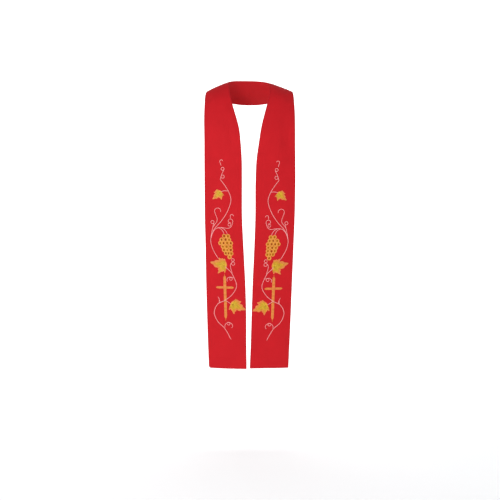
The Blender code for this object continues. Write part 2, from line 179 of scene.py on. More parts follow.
# A section goes across the band, from its inner edge by the neck to its outer edge. "run" goes roughly
# along the cloth from the hem: on the hanging front it is the height above the hem. x is the distance
# from the middle plane, given for each half, because the two halves don't hang quite alike, and
# "left_low" is how much lower the inner edge lies on the left half. "crown" is how far the middle of
# the section stands out from the straight line between its edges.
Section = namedtuple(
    "Section",
    "run  z_in z_out left_low  right_in right_out  left_in left_out  y_in y_out  crown",
)
SECTIONS = [
    Section(0.000, -1.2022, -1.2023, -0.0018, 0.0143, 0.1756, -0.0004, 0.1642, -0.116, -0.087, 0.005),
    Section(0.108, -1.090, -1.090, 0, 0.0156, 0.1795, 0.0039, 0.1690, -0.117, -0.089, 0.006),
    Section(0.208, -0.990, -0.990, 0, 0.0156, 0.1823, 0.0063, 0.1730, -0.118, -0.091, 0.006),
    Section(0.368, -0.830, -0.830, 0, 0.0197, 0.1861, 0.0112, 0.1788, -0.120, -0.093, 0.006),
    Section(0.508, -0.690, -0.690, 0, 0.0268, 0.1880, 0.0175, 0.1840, -0.122, -0.094, 0.006),
    Section(0.638, -0.560, -0.560, 0, 0.0328, 0.1905, 0.0220, 0.1887, -0.124, -0.096, 0.006),
    Section(0.798, -0.400, -0.400, 0, 0.0332, 0.1915, 0.0233, 0.1912, -0.125, -0.095, 0.007),
    Section(0.878, -0.320, -0.320, 0, 0.0338, 0.1918, 0.0268, 0.1909, -0.123, -0.093, 0.007),
    Section(0.958, -0.240, -0.240, 0, 0.0391, 0.1921, 0.0377, 0.1904, -0.119, -0.088, 0.007),
    Section(1.003, -0.195, -0.195, 0, 0.0438, 0.1927, 0.0444, 0.1903, -0.113, -0.083, 0.007),
    Section(1.044, -0.154, -0.154, 0, 0.0530, 0.1934, 0.0531, 0.1900, -0.104, -0.075, 0.007),
    Section(1.083, -0.115, -0.116, 0, 0.0646, 0.1931, 0.0633, 0.1893, -0.092, -0.064, 0.0075),
    Section(1.118, -0.079, -0.085, 0, 0.0749, 0.1922, 0.0729, 0.1877, -0.078, -0.051, 0.007),
    Section(1.146, -0.051, -0.063, 0.001, 0.0819, 0.1914, 0.0796, 0.1867, -0.062, -0.038, 0.0065),
    Section(1.175, -0.0225, -0.0430, 0.003, 0.0868, 0.1899, 0.0840, 0.1851, -0.040, -0.022, 0.0050),
    Section(1.197, -0.0008, -0.0318, 0.005, 0.0888, 0.1871, 0.0860, 0.1830, -0.019, -0.008, 0.0040),
    Section(1.217, 0.0105, -0.0258, 0.006, 0.0888, 0.1829, 0.0866, 0.1792, 0.001, 0.008, 0.0040),
    Section(1.260, 0.0178, -0.0365, 0.007, 0.0843, 0.1676, 0.0833, 0.1655, 0.033, 0.053, 0.0050),
    Section(1.301, 0.0222, -0.0580, 0.005, 0.0668, 0.1322, 0.0664, 0.1312, 0.058, 0.088, 0.0065),
    Section(1.345, 0.0238, -0.0730, 0.002, 0.0388, 0.0782, 0.0388, 0.0779, 0.074, 0.104, 0.006),
    Section(1.405, 0.024, -0.080, 0, 0, 0, 0, 0, 0.081, 0.110, 0.006),
]
CENTRE_BACK = SECTIONS[-1].run
WALL = 0.002  # face cloth, interlining and inner cloth together
SIDES = ("right", "left")

SLOPE_STEP = 0.0005  # run over which the slope of the cloth is taken
SLOPE_SHARE = 0.01  # and the share of its width

# Soft hollows in the cloth. "across" runs from 0 at the inner edge to 1 at the outer edge.
Hollow = namedtuple("Hollow", "side run across half_length half_width depth")
HOLLOWS = [
    Hollow("left", 0.965, 0.80, 0.120, 0.30, 0.0070),
    Hollow("left", 0.060, 0.34, 0.260, 0.60, 0.0065),
    Hollow("left", 1.150, 0.80, 0.030, 0.16, 0.0018),
    Hollow("left", 1.207, 0.55, 0.055, 0.60, 0.0022),
    Hollow("right", 0.985, 0.26, 0.090, 0.14, 0.0022),
    Hollow("right", 1.150, 0.84, 0.030, 0.14, 0.0020),
    Hollow("right", 1.110, 0.12, 0.035, 0.12, 0.0018),
]


def smooth(knots, values, at):
    """The values read at any place, on a smooth curve through the knots (cubic, with the slope at
    each knot taken from the parabola through it and its two neighbours)."""
    knots, values, at = (np.asarray(x, float) for x in (knots, values, at))
    gap = np.diff(knots)
    secant = np.diff(values) / gap
    slope = np.empty_like(values)
    slope[1:-1] = (secant[:-1] * gap[1:] + secant[1:] * gap[:-1]) / (gap[1:] + gap[:-1])
    slope[0], slope[-1] = secant[0], secant[-1]
    i = np.clip(np.searchsorted(knots, at, side="right") - 1, 0, len(gap) - 1)
    t = (at - knots[i]) / gap[i]
    h = gap[i]
    return (
        values[i] * (1 + 2 * t) * (1 - t) ** 2
        + slope[i] * h * t * (1 - t) ** 2
        + values[i + 1] * t**2 * (3 - 2 * t)
        - slope[i + 1] * h * t**2 * (1 - t)
    )


# Past the centre back the table goes on as its own mirror image, so that the two halves meet smoothly.
RUNS = [s.run for s in SECTIONS] + [2 * CENTRE_BACK - SECTIONS[-2].run]


def column(name, run):
    """One column of the sections, read at any run."""
    values = [getattr(s, name) for s in SECTIONS]
    mirrored = -values[-2] if name.endswith(("t_in", "t_out")) else values[-2]
    return smooth(RUNS, values + [mirrored], run)


def edges(side, run):
    """The inner and outer edge points of a half, at any run."""
    sign = 1.0 if side == "left" else -1.0
    low = column("left_low", run) if side == "left" else 0.0
    inner = [sign * column(side + "_in", run), column("y_in", run), column("z_in", run) - low]
    outer = [sign * column(side + "_out", run), column("y_out", run), column("z_out", run)]
    return np.stack(inner, -1), np.stack(outer, -1)


def band_width(side, run):
    inner, outer = edges(side, run)
    return np.linalg.norm(outer - inner, axis=-1)


def unit(vectors):
    return vectors / np.linalg.norm(vectors, axis=-1, keepdims=True)


def outward(side, along, across):
    """The direction that faces away from the wearer, from the two directions of the cloth."""
    normal = np.cross(across, along)
    return unit(normal if side == "left" else -normal)


def bump(distance):
    """1 at the middle, falling smoothly to 0 at distance 1."""
    return np.where(np.abs(distance) < 1, (1 - np.minimum(distance**2, 1)) ** 2, 0.0)


def ease(share):
    """From 0 to 1, with a soft start and a soft end."""
    share = np.clip(share, 0, 1)
    return share * share * (3 - 2 * share)


def face_points(side, run, across):
    """Points on the outer face of a half. across runs from 0 at the inner edge to 1 at the outer."""
    run, across = np.broadcast_arrays(np.asarray(run, float), np.asarray(across, float))
    inner, outer = edges(side, run)
    inner_next, outer_next = edges(side, run + 2 * SLOPE_STEP)
    a = across[..., None]
    flat = inner * (1 - a) + outer * a
    along = (inner_next * (1 - a) + outer_next * a) - flat
    face = outward(side, along, outer - inner)
    lift = column("crown", run) * 4 * across * (1 - across)
    for hollow in (h for h in HOLLOWS if h.side == side):
        along_share = bump((run - hollow.run) / hollow.half_length)
        across_share = bump((across - hollow.across) / hollow.half_width)
        lift = lift - hollow.depth * along_share * across_share
    return flat + face * lift[..., None]


def face_directions(side, run, across):
    """The outward direction of the outer face at the same places."""
    low, high = np.clip(across - SLOPE_SHARE, 0, 1), np.clip(across + SLOPE_SHARE, 0, 1)
    up, down = run + SLOPE_STEP, run - SLOPE_STEP
    along = face_points(side, up, across) - face_points(side, down, across)
    over = face_points(side, run, high) - face_points(side, run, low)
    return outward(side, along, over)


HALF_THICK = 0.0008  # half of the pressed cloth, away from its turnings
EDGE_RADIUS = 0.0012  # of the folded edges
TURNINGS = {"side": 0.0225, "hem": 0.0280, "seam": 0.0150}  # how far each is turned in
TURNING_RISE = 0.00022
TURNING_STEP = 0.0030  # the width over which the face falls off a turning


def half_thickness(to_side, to_hem, to_seam):
    """Half the thickness of the made-up cloth, from its distances to its edges."""
    nearest = np.minimum(np.minimum(to_side, to_hem), to_seam)
    rounded = np.sqrt(1 - (1 - np.clip(nearest / EDGE_RADIUS, 0, 1)) ** 2)
    past = np.minimum(to_side - TURNINGS["side"], to_hem - TURNINGS["hem"])
    past = np.minimum(past, to_seam - TURNINGS["seam"])
    return (HALF_THICK + TURNING_RISE * (1 - ease(past / TURNING_STEP))) * rounded


def above_cloth(side, run, reach, height):
    """Points that stand off the face of the cloth by height. reach is the distance from the middle
    line of the band, positive towards the outer edge."""
    run, reach, height = (np.asarray(x, float) for x in (run, reach, height))
    width = band_width(side, run)
    across = np.clip(0.5 + reach / width, 0, 1)
    to_side = width / 2 - np.abs(reach)
    away = face_directions(side, run, across)
    lift = half_thickness(to_side, run, 1.0) - WALL / 2 + height
    return face_points(side, run, across) + away * lift[..., None]


# The mesh is fine enough for the hollows, and finest at the edges and over the turnings.
EDGE_COLUMNS = (0, 0.00015, 0.0005, 0.0012, 0.0026, 0.0038, 0.0046, 0.0065, 0.0095, 0.0130)
EDGE_COLUMNS = np.array(EDGE_COLUMNS + (0.0170, 0.0205, 0.0225, 0.0240, 0.0255, 0.0290))
MIDDLE_COLUMNS = 36
HEM_ROWS = (0, 0.00015, 0.0005, 0.0012, 0.0025, 0.0042, 0.0065, 0.0095, 0.013, 0.017, 0.021, 0.025)
HEM_ROWS = np.array(HEM_ROWS + (0.028, 0.0295, 0.031, 0.034))
SEAM_ROWS = np.array((0.0075, 0.0055, 0.0035, 0.0020, 0.0011, 0.0005, 0.0002, 0))
FRONT_ROW = 0.0030
NECK_ROW = 0.0042
NECK_FROM = 0.93
SEAM_LAP = 0.0002  # the rounded ends of the halves press into each other by this much
SEAM_EASE = 0.004  # the run over which they come to do so
SEAM_NEAR = 1.3  # run from which the distance to the seam counts
CORNER_RADII = {"right": (0.003, 0.010), "left": (0.003, 0.004)}  # inner and outer, at the hem
INNER_FOLD = 0.0042  # how far the face cloth goes round the edge before the inner cloth starts
INNER_STEP = 0.00030  # the thickness of the inner cloth's own folded edge
INNER_STEP_WIDTH = 0.0008


def half_runs():
    front_count = round((NECK_FROM - HEM_ROWS[-1]) / FRONT_ROW)
    seam_from = CENTRE_BACK - SEAM_ROWS[0]
    neck_count = round((seam_from - NECK_FROM) / NECK_ROW)
    front = np.linspace(HEM_ROWS[-1], NECK_FROM, front_count + 1)
    neck = np.linspace(NECK_FROM, seam_from, neck_count + 1)
    return np.concatenate([HEM_ROWS, front[1:], neck[1:], CENTRE_BACK - SEAM_ROWS[1:]])


def corner_inset(runs, radius):
    """How much a rounded corner takes off a row, by the row's distance from the hem."""
    return radius * (1 - np.sqrt(1 - (1 - np.minimum(runs / radius, 1)) ** 2))


def half_grid(side):
    """The places of the mesh: run and reach, and the distances to the nearest side and to the hem."""
    runs = half_runs()
    width = band_width(side, runs)
    inset_in = corner_inset(runs, CORNER_RADII[side][0])
    inset_out = corner_inset(runs, CORNER_RADII[side][1])
    usable = (width - inset_in - inset_out)[:, None]
    near = np.broadcast_to(EDGE_COLUMNS, (len(runs), len(EDGE_COLUMNS)))
    share = np.linspace(0, 1, MIDDLE_COLUMNS + 1)[1:-1]
    middle = near[:, -1:] + (usable - 2 * near[:, -1:]) * share
    from_inner = np.concatenate([near, middle, usable - near[:, ::-1]], axis=1)
    run = np.broadcast_to(runs[:, None], from_inner.shape)
    reach = inset_in[:, None] + from_inner - width[:, None] / 2
    to_side = np.minimum(from_inner, usable - from_inner)
    return run, reach, width[:, None], to_side


def quads_of(rows, columns):
    """The faces of a grid of points, each as four numbers into its points, row by row."""
    i, j = np.meshgrid(np.arange(rows - 1), np.arange(columns - 1), indexing="ij")
    first = (i * columns + j).ravel()
    return np.stack([first, first + 1, first + columns + 1, first + columns], axis=1)


def add_piece(name, points, faces, maps, materials, slots=None):
    """A mesh object with its UV maps, given for each corner of each face in turn."""
    mesh = bpy.data.meshes.new(name)
    mesh.from_pydata(np.asarray(points).tolist(), [], faces)
    for map_name, corners in maps.items():
        layer = mesh.uv_layers.new(name=map_name)
        layer.data.foreach_set("uv", np.asarray(corners, np.float32).ravel())
    for material in materials:
        mesh.materials.append(material)
    if slots is not None:
        mesh.polygons.foreach_set("material_index", np.asarray(slots, np.int32))
    mesh.shade_smooth()
    return add_object(name, mesh)


def new_group(name, inputs, outputs):
    """An empty shader node group with named sockets. An input is (name, kind, value)."""
    group = bpy.data.node_groups.new(name, "ShaderNodeTree")
    for label, kind, value in inputs:
        socket = group.interface.new_socket(label, in_out="INPUT", socket_type="NodeSocket" + kind)
        if value is not None:
            socket.default_value = value
    for label in outputs:
        group.interface.new_socket(label, in_out="OUTPUT", socket_type="NodeSocketFloat")
    return group, group.nodes.new("NodeGroupInput"), group.nodes.new("NodeGroupOutput")


def math_node(tree, operation, *operands):
    """A Math node. Each operand is a number or an output socket."""
    return add_node(tree, "Math", dict(enumerate(operands)), operation=operation).outputs[0]


def wave_node(tree, along, length):
    """A sine that comes back after each length."""
    turn = math_node(tree, "DIVIDE", math_node(tree, "MULTIPLY", along, 2 * math.pi), length)
    return math_node(tree, "SINE", turn)


def stretched_noise(tree, place, stretch, **grain):
    """Noise that is finer one way than the other."""
    stretched = add_node(tree, "VectorMath", {0: place, 1: stretch}, operation="MULTIPLY")
    grain = {"Vector": stretched.outputs["Vector"], "Scale": 1.0, **grain}
    return add_node(tree, "TexNoise", grain).outputs["Fac"]


def woven_cloth_group():
    """A twill: diagonal ribs crossed by single threads. Map is in metres. Tone and Height are from 0
    to 1. The third output is painted shade, strongest beside the side edges and the hem and broken up
    by noise. Edge holds the distances to the side and the hem."""
    sockets = [
        ("Map", "Vector", None),
        ("Edge", "Vector", None),
        ("Rib", "Float", 0.0010),
        ("Thread", "Float", 0.0005),
        ("Edge Width", "Float", 0.0070),
    ]
    group, given, out = new_group("woven_cloth", sockets, ("Tone", "Height", "Edge Shade"))
    cloth = given.outputs["Map"]
    place = add_node(group, "SeparateXYZ", {0: cloth}).outputs
    slant = math_node(group, "MULTIPLY_ADD", place["Y"], 0.62, place["X"])
    rib = wave_node(group, slant, given.outputs["Rib"])
    thread = wave_node(group, place["Y"], given.outputs["Thread"])
    weave = math_node(group, "MULTIPLY_ADD", thread, 0.35, rib)
    weave = math_node(group, "MULTIPLY_ADD", weave, 0.22, 0.1)
    slubs = stretched_noise(group, cloth, (900.0, 60.0, 0.0), Detail=3.0, Roughness=0.6)
    height = math_node(group, "MULTIPLY_ADD", slubs, 0.8, weave)
    clouds = {"Vector": cloth, "Scale": 14.0, "Detail": 4.0, "Roughness": 0.55}
    clouds = math_node(group, "MULTIPLY", add_node(group, "TexNoise", clouds).outputs["Fac"], 0.65)
    border = add_node(group, "SeparateXYZ", {0: given.outputs["Edge"]}).outputs
    nearest = math_node(group, "MINIMUM", border["X"], border["Y"])
    beside = math_node(group, "DIVIDE", nearest, given.outputs["Edge Width"])
    beside = math_node(group, "MAXIMUM", math_node(group, "SUBTRACT", 1.0, beside), 0.0)
    patches = add_node(group, "TexNoise", {"Vector": cloth, "Scale": 160.0, "Detail": 2.0})
    # The third output is painted shade: a noise-broken darkening within Edge Width of the side edges and
    # the hem.
    feed(group, out, {
        "Tone": math_node(group, "MULTIPLY_ADD", height, 0.35, clouds),
        "Height": height,
        "Edge Shade": math_node(group, "MULTIPLY", beside, patches.outputs["Fac"]),
    })
    return group


WOVEN_CLOTH = woven_cloth_group()
RED_DEEP = (0.490, 0.0070, 0.0125, 1.0)
RED_BRIGHT = (0.675, 0.0112, 0.0185, 1.0)
RED_EDGE_SHADE = (0.400, 0.0060, 0.0130, 1.0)  # painted shade: the cloth is drawn a little darker along its side edges and hem
INNER_RED_DEEP = (0.430, 0.0080, 0.0120, 1.0)
INNER_RED_BRIGHT = (0.560, 0.0120, 0.0180, 1.0)


def mix_colour(tree, factor, dark, light):
    """Dark where the factor is 0, light where it is 1. Each is a colour or an output socket."""
    return add_node(tree, "Mix", {"Factor": factor, 6: dark, 7: light}, data_type="RGBA").outputs[2]


def cloth_material(name, deep, bright, rib, roughness, sheen, relief):
    material, tree, shader = new_material(name)
    cloth = add_node(tree, "UVMap", uv_map="Cloth").outputs["UV"]
    edge = add_node(tree, "UVMap", uv_map="Edge").outputs["UV"]
    given = {"Map": cloth, "Edge": edge, "Rib": rib, "Thread": rib / 2}
    weave = add_node(tree, "Group", given, node_tree=WOVEN_CLOTH).outputs
    dyed = mix_colour(tree, weave["Tone"], deep, bright)
    matt = {"Value": weave["Height"], "To Min": roughness + 0.06, "To Max": roughness - 0.06}
    ribs = {"Height": weave["Height"], "Strength": relief, "Distance": 0.0002}
    feed(tree, shader, {
        # painted shade: the colour is mixed towards a darker red along the side edges and the hem
        "Base Color": mix_colour(tree, weave["Edge Shade"], dyed, RED_EDGE_SHADE),
        "Roughness": add_node(tree, "MapRange", matt).outputs["Result"],
        "Specular IOR Level": 0.14,
        "Sheen Weight": sheen,
        "Sheen Roughness": 0.45,
        "Sheen Tint": (1.0, 0.32, 0.30, 1.0),
        "Normal": add_node(tree, "Bump", ribs).outputs["Normal"],
    })
    return material


FACE_CLOTH = cloth_material("red_face_cloth", RED_DEEP, RED_BRIGHT, 0.0011, 0.74, 0.12, 0.55)
INNER_CLOTH = cloth_material(
    "red_inner_cloth", INNER_RED_DEEP, INNER_RED_BRIGHT, 0.0007, 0.55, 0.10, 0.35
)

BAKE_ROWS = 2  # the bake's map lays each side of the cloth out as this many strips
BAKE_FILL = 0.94  # the share of a strip's width that the cloth takes up
BAKE_MARGIN = 0.01
CUT_WIDTH = 0.176  # a little over the widest place of the finished band


def add_half(side):
    run, reach, width, to_side = half_grid(side)
    rows, columns = run.shape
    across = 0.5 + reach / width
    face = face_points(side, run, across)
    away = face_directions(side, run, across)
    away[-1, :, 0] = 0
    away[-1] = unit(away[-1])
    sign = 1.0 if side == "left" else -1.0
    face[..., 0] -= sign * SEAM_LAP * ease((run - CENTRE_BACK) / SEAM_EASE + 1)
    to_seam = np.where(run > SEAM_NEAR, np.abs(face[..., 0] + sign * SEAM_LAP), 1.0)
    half = half_thickness(to_side, run, to_seam)
    from_fold = np.minimum(to_side, run)
    step = 1 - ease((from_fold - INNER_FOLD) / INNER_STEP_WIDTH + 0.5)
    inner_half = half - INNER_STEP * step * (half / HALF_THICK)
    middle = face - away * (WALL / 2)
    outer_points = (middle + away * half[..., None]).reshape(-1, 3)
    inner_points = (middle - away * inner_half[..., None]).reshape(-1, 3)
    on_rim = np.zeros(run.shape, bool)
    on_rim[[0, -1], :] = True
    on_rim[:, [0, -1]] = True
    on_rim = on_rim.ravel()
    inner_number = np.arange(rows * columns)
    inner_number[~on_rim] = rows * columns + np.arange((~on_rim).sum())
    points = np.concatenate([outer_points, inner_points[~on_rim]])
    grid = quads_of(rows, columns)
    if side == "right":
        grid = grid[:, ::-1]
    inner_grid = grid[:, ::-1]
    faces = np.concatenate([grid, inner_number[inner_grid]])
    cells = np.concatenate([grid, inner_grid])
    is_inner = np.repeat([0, 1], len(grid))
    turned_in = from_fold.ravel()[cells].mean(axis=1) < INNER_FOLD
    slots = np.where(turned_in, 0, is_inner)
    place = np.stack([reach, run], -1).reshape(-1, 2)
    border = np.stack([to_side, run], -1).reshape(-1, 2)
    strip_length = CENTRE_BACK / BAKE_ROWS
    strip = np.minimum((run.ravel()[cells].mean(axis=1) / strip_length).astype(int), BAKE_ROWS - 1)
    cell = (is_inner * BAKE_ROWS + strip)[:, None]
    bake_u = (cell + 0.5 + place[cells][..., 0] / CUT_WIDTH * BAKE_FILL) / (2 * BAKE_ROWS)
    bake_v = BAKE_MARGIN + (1 - 2 * BAKE_MARGIN) * (place[cells][..., 1] / strip_length - strip[:, None])
    maps = {
        "Cloth": place[cells],
        "Edge": border[cells],
        "OFBake": np.stack([bake_u, bake_v], -1),
    }
    piece = add_piece(f"cloth_{side}", points, faces.tolist(), maps, [FACE_CLOTH, INNER_CLOTH], slots)
    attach(piece, "root")
    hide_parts(f"half_{side}")
    return piece, run.ravel(), reach.ravel()


CLOTH = {side: add_half(side) for side in SIDES}

# ================================================================ the stems of the vine
# A stem is a narrow bar of satin stitch in pale silvery pink thread: the thread goes over and over
# across the stem at a slant, on a padding that raises its middle. It climbs over the cross.
Bend = namedtuple("Bend", "run reach")
STEMS = {
    "vine_upper": [
        Bend(0.801, 0.013),
        Bend(0.777, -0.006),
        Bend(0.752, -0.022),
        Bend(0.718, -0.034),
        Bend(0.672, -0.022),
        Bend(0.626, 0.007),
        Bend(0.588, 0.041),
        Bend(0.546, 0.057),
        Bend(0.508, 0.050),
        Bend(0.484, 0.038),
        Bend(0.464, 0.025),
    ],
    "vine_lower": [
        Bend(0.435, 0.0),
        Bend(0.426, -0.008),
        Bend(0.411, -0.024),
        Bend(0.385, -0.038),
        Bend(0.352, -0.047),
        Bend(0.314, -0.027),
        Bend(0.290, 0.003),
        Bend(0.272, 0.036),
        Bend(0.237, 0.052),
        Bend(0.199, 0.038),
        Bend(0.172, 0.010),
        Bend(0.122, -0.019),
    ],
}
DESIGN_SHIFT = {"right": (0.0, 0.0), "left": (-0.0050, 0.0018)}  # of a half's whole design
STEM_HALF_WIDTH = 0.00113
STEM_CROWN = 0.00075
STEM_END = 0.35  # the width left at a stem's ends, as a share
STEM_TAPER = 0.008  # and the length over which it narrows
LEAF_HEART = Bend(0.4350, 0.0)  # of the middle leaf
CROSS_TOP = 0.402
CROSS_FOOT = 0.202
CROSS_ARM_RUN = 0.344
CROSS_REACH = 0.0025
UPRIGHT_WIDTH = 0.0125
CROSS_CROWN = 0.0009
STITCH_PITCH = 0.00048  # from one thread to the next
THREAD_RIDGE = 0.00009  # how far a thread stands up from the line between two threads
CLIMB_BESIDE = 0.001  # a stem that crosses the upright is at its highest this far beside it
CLIMB = 0.006  # and comes down over this width
CLIMB_HEART = 0.004  # the same by the heart of the middle leaf
CLIMB_LEAF = 0.008
SUNK = 0.00018  # how far the stitches go down into the cloth
LOOSE = 0.05  # how much the ends of the threads differ, as a share of the bar's half-width


def satin_thread_group():
    """Threads side by side. Stitch holds the place across the bar, in metres, and the number of the
    thread. Tone differs from thread to thread and along each, and Height is the twist of its plies."""
    sockets = [("Stitch", "Vector", None), ("Spread", "Float", 0.5), ("Ply", "Float", 0.0011)]
    group, given, out = new_group("satin_thread", sockets, ("Tone", "Height", "Lustre"))
    stitch = given.outputs["Stitch"]
    place = add_node(group, "SeparateXYZ", {0: stitch}).outputs
    threads = stretched_noise(group, stitch, (70.0, 0.9, 0.0), Detail=2.0)
    patches = stretched_noise(group, stitch, (60.0, 0.05, 0.0), Detail=1.0)
    centred = math_node(group, "SUBTRACT", math_node(group, "ADD", threads, patches), 1.0)
    turn = math_node(group, "MULTIPLY", place["X"], 2 * math.pi)
    turn = math_node(group, "DIVIDE", turn, given.outputs["Ply"])
    twist = math_node(group, "SINE", math_node(group, "MULTIPLY_ADD", place["Y"], 2.1, turn))
    feed(group, out, {
        "Tone": math_node(group, "MULTIPLY_ADD", centred, given.outputs["Spread"], 0.5),
        "Height": math_node(group, "MULTIPLY_ADD", twist, 0.5, 0.5),
        "Lustre": math_node(group, "MULTIPLY_ADD", threads, 0.16, -0.08),
    })
    return group


SATIN_THREAD = satin_thread_group()


def thread_material(name, deep, bright, roughness=0.42, spread=1.6, sheen=0.05, specular=0.4):
    material, tree, shader = new_material(name)
    stitch = add_node(tree, "UVMap", uv_map="Stitch").outputs["UV"]
    given = {"Stitch": stitch, "Spread": spread}
    strands = add_node(tree, "Group", given, node_tree=SATIN_THREAD).outputs
    plies = {"Height": strands["Height"], "Strength": 0.25, "Distance": 0.0001}
    feed(tree, shader, {
        "Base Color": mix_colour(tree, strands["Tone"], deep, bright),
        "Roughness": math_node(tree, "ADD", strands["Lustre"], roughness),
        "Specular IOR Level": specular,
        "Sheen Weight": sheen,
        "Sheen Roughness": 0.4,
        "Normal": add_node(tree, "Bump", plies).outputs["Normal"],
    })
    return material


SILVER_PINK = thread_material(
    "silver_pink_thread", (0.86, 0.32, 0.32, 1.0), (0.98, 0.51, 0.49, 1.0), roughness=0.38
)


def lengths_along(line):
    """How far along a line each of its points is."""
    return np.concatenate([[0], np.cumsum(np.linalg.norm(np.diff(line, axis=0), axis=1))])


LINE_STEP = 0.0005  # from point to point of a line that stitches follow
LINE_FEWEST = 8  # points


def curve_through(bends):
    """A dense line of points on a smooth curve through the bends."""
    corners = np.array(bends, float)
    along = lengths_along(corners)
    at = np.linspace(0, along[-1], max(LINE_FEWEST, round(along[-1] / LINE_STEP)))
    return np.stack([smooth(along, corners[:, k], at) for k in range(2)], axis=1)


BAR_OFFSETS = np.array((-1.0, -0.86, -0.45, 0.45, 0.86, 1.0))  # across a bar, from edge to edge
BAR_PROFILE = np.array((-0.2, 0.55, 0.95, 0.95, 0.55, -0.2))  # the height there, as a share
UNDER_OFFSETS = np.array((0.8, -0.8))

TOPS_WIDTH = 0.80  # of the bake's map, for the tops of the stitches
UNDER_SCALE = 0.18  # the undersides are laid out this small, beside them

# Strip: rings of points round a bar, in run, reach and height. "stitch" is their place in the
# stitches, and "under" tells which of them lie on the cloth. A loop closes on itself.
Strip = namedtuple("Strip", "rings stitch under loop slot")


def satin_bar(line, half_width, crown, seed, slant=0.55, lift=None, slot=0, pitch=STITCH_PITCH):
    """A bar of satin stitch along a line. half_width and lift may change with the length along it."""
    rng = np.random.default_rng(seed)
    line = np.asarray(line, float)
    along = lengths_along(line)
    way = unit(np.gradient(line, axis=0))
    count = max(3, round(along[-1] / pitch))
    at = np.linspace(0, along[-1], 2 * count + 1)
    loose = 1 + LOOSE * np.repeat(rng.standard_normal(count + 1), 2)[: len(at)]
    half = half_width(at, along[-1]) * loose
    offsets = np.concatenate([BAR_OFFSETS, UNDER_OFFSETS])
    read_at = np.clip(at[:, None] + slant * half[:, None] * offsets, 0, along[-1])
    run = np.interp(read_at, along, line[:, 0])
    reach = np.interp(read_at, along, line[:, 1])
    way_run = np.interp(read_at, along, way[:, 0])
    way_reach = np.interp(read_at, along, way[:, 1])
    run = run + way_reach * offsets * half[:, None]
    reach = reach - way_run * offsets * half[:, None]
    base = np.zeros_like(read_at) if lift is None else lift(run, reach)
    ridge = np.where(np.arange(len(at)) % 2 == 1, THREAD_RIDGE, -THREAD_RIDGE)
    height = np.empty_like(read_at)
    top = len(BAR_OFFSETS)
    height[:, :top] = crown * BAR_PROFILE + ridge[:, None] * np.maximum(BAR_PROFILE, 0.1)
    height[:, top:] = -SUNK
    height += base
    stitch = np.stack([offsets * half[:, None], np.repeat(at[:, None] / pitch, len(offsets), 1)], -1)
    under = np.arange(len(offsets)) >= top
    return Strip(np.stack([run, reach, height], -1), stitch, under, False, slot)


def sew(name, side, strips, materials, nodes=()):
    """Puts the strips on a half as one piece, each as a closed body of its own."""
    points, faces, slots, stitch, plans = [], [], [], [], []
    low = np.min([s.rings[..., :2].min(axis=(0, 1)) for s in strips], axis=0)
    high = np.max([s.rings[..., :2].max(axis=(0, 1)) for s in strips], axis=0)
    span = high - low
    scale = min((1 - 2 * BAKE_MARGIN) / span[0], TOPS_WIDTH / span[1])
    first = 0
    for strip in strips:
        rings = strip.rings
        count, around = rings.shape[:2]
        flat = rings.reshape(-1, 3)
        shift_run, shift_reach = DESIGN_SHIFT[side]
        placed = above_cloth(side, flat[:, 0] + shift_run, flat[:, 1] + shift_reach, flat[:, 2])
        ring_at = np.arange(count if strip.loop else count - 1)
        i, j = (x.ravel() for x in np.meshgrid(ring_at, np.arange(around), indexing="ij"))
        i_next, j_next = (i + 1) % count, (j + 1) % around
        quads = np.stack(
            [i * around + j, i * around + j_next, i_next * around + j_next, i_next * around + j], 1
        )
        is_under = strip.under[j] | strip.under[j_next]
        ends = []
        if not strip.loop:
            ends = [tuple(range(around))[::-1], tuple((count - 1) * around + k for k in range(around))]
        corner = placed[quads] - placed.mean(axis=0)
        volume = np.einsum("ij,ij->", corner[:, 0], np.cross(corner[:, 1], corner[:, 2]))
        volume += np.einsum("ij,ij->", corner[:, 0], np.cross(corner[:, 2], corner[:, 3]))
        if volume < 0:
            quads = quads[:, ::-1]
            ends = [end[::-1] for end in ends]
        plan = np.stack([flat[:, 1] - low[1], flat[:, 0] - low[0]], -1) * scale + BAKE_MARGIN
        aside = plan * UNDER_SCALE + (span[1] * scale + 3 * BAKE_MARGIN, 0.0)
        stitches = strip.stitch.reshape(-1, 2)
        plans.append(np.where(is_under[:, None, None], aside[quads], plan[quads]).reshape(-1, 2))
        stitch.append(stitches[quads].reshape(-1, 2))
        for end in ends:
            plans.append(plan[list(end)])
            stitch.append(stitches[list(end)])
        faces += (quads + first).tolist() + [[first + k for k in end] for end in ends]
        slots += [strip.slot] * (len(quads) + len(ends))
        points.append(placed)
        first += len(placed)
    maps = {"Stitch": np.concatenate(stitch), "OFBake": np.concatenate(plans)}
    piece = add_piece(f"{name}_stitched_{side}", np.concatenate(points), faces, maps, materials, slots)
    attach(piece, "root")
    if nodes:
        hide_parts(*nodes)
    return piece


def over_other_stitches(run, reach):
    """How far a stem is lifted where it passes over the upright of the cross, or on to the middle leaf."""
    past = np.maximum(0, np.abs(reach - CROSS_REACH) - UPRIGHT_WIDTH / 2 - CLIMB_BESIDE) / CLIMB
    inside = (run > CROSS_FOOT) & (run < CROSS_TOP)
    from_heart = np.hypot(run - LEAF_HEART.run, reach - LEAF_HEART.reach)
    on_leaf = 1 - ease((from_heart - CLIMB_HEART) / CLIMB_LEAF)
    return CROSS_CROWN * np.maximum(np.where(inside, 1 - ease(past), 0.0), on_leaf)


def narrowed(half_width, end, taper):
    """Half the width of a bar at any place along it: full in the middle, and narrower at both ends."""

    def half_width_at(at, length):
        return half_width * (end + (1 - end) * ease(np.minimum(at, length - at) / taper))

    return half_width_at


